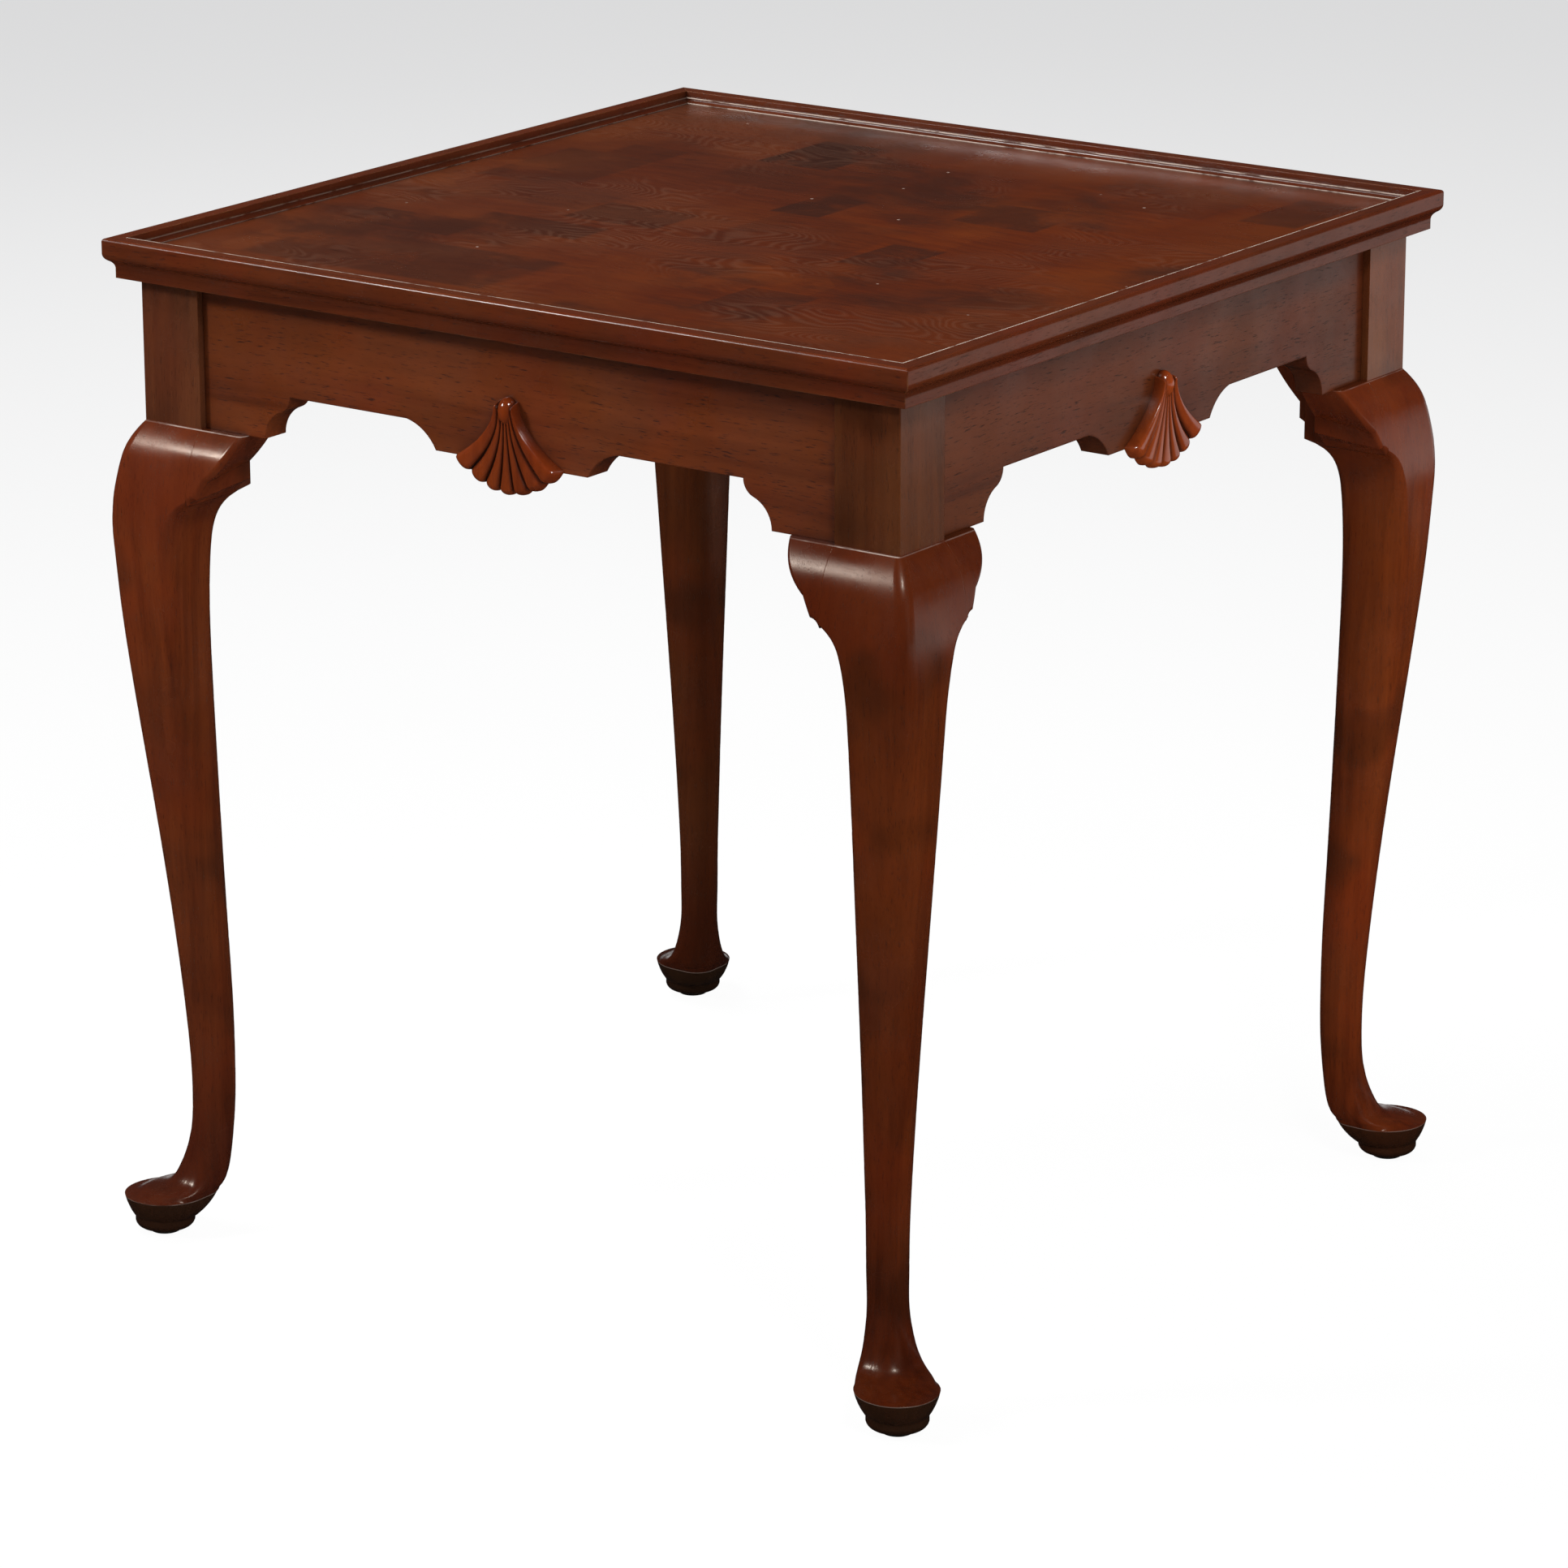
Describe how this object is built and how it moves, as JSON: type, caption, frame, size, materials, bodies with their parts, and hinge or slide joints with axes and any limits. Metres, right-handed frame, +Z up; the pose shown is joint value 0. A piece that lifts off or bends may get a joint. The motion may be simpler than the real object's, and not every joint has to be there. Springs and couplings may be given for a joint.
{
  "type": "tray top tea table",
  "caption": "Square mahogany tray top tea table with scalloped aprons, carved shells and cabriole legs on pad feet.",
  "frame": {"origin": "on the floor, under the centre of the table", "axes": "+Z up; -Y is the front apron and +X the right apron; the table is the same from all four sides"},
  "size_m": [0.6602, 0.6602, 0.69],
  "materials": {
    "mahogany": "satin lacquer",
    "mahogany_veneer": "satin lacquer over figured veneer",
    "carved_mahogany": "glossy lacquer",
    "poplar": "unfinished secondary wood",
    "screw_steel": "bright",
    "glide_plastic": "dull"
  },
  "bodies": {
    "root": {"top_panel": "mahogany_veneer", "rim_front": "mahogany", "rim_right": "mahogany", "rim_back": "mahogany", "rim_left": "mahogany", "mitre_splines": "poplar", "apron_front": "mahogany", "apron_right": "mahogany", "apron_back": "mahogany", "apron_left": "mahogany", "leg_front_left": "mahogany", "leg_front_right": "mahogany", "leg_back_right": "mahogany", "leg_back_left": "mahogany", "knee_block_front_left_front": "mahogany", "knee_block_front_left_left": "mahogany", "knee_block_front_right_right": "mahogany", "knee_block_front_right_front": "mahogany", "knee_block_back_right_back": "mahogany", "knee_block_back_right_right": "mahogany", "knee_block_back_left_left": "mahogany", "knee_block_back_left_back": "mahogany", "shell_front": "carved_mahogany", "shell_right": "carved_mahogany", "shell_back": "carved_mahogany", "shell_left": "carved_mahogany", "corner_block_front_left": "poplar", "corner_block_front_right": "poplar", "corner_block_back_right": "poplar", "corner_block_back_left": "poplar", "corner_block_screws": "screw_steel", "cleat_front": "poplar", "cleat_right": "poplar", "cleat_back": "poplar", "cleat_left": "poplar", "cleat_top_screws": "screw_steel", "cleat_apron_screws": "screw_steel", "glide_front_left": "glide_plastic", "glide_front_right": "glide_plastic", "glide_back_right": "glide_plastic", "glide_back_left": "glide_plastic"}
  },
  "joints": []
}
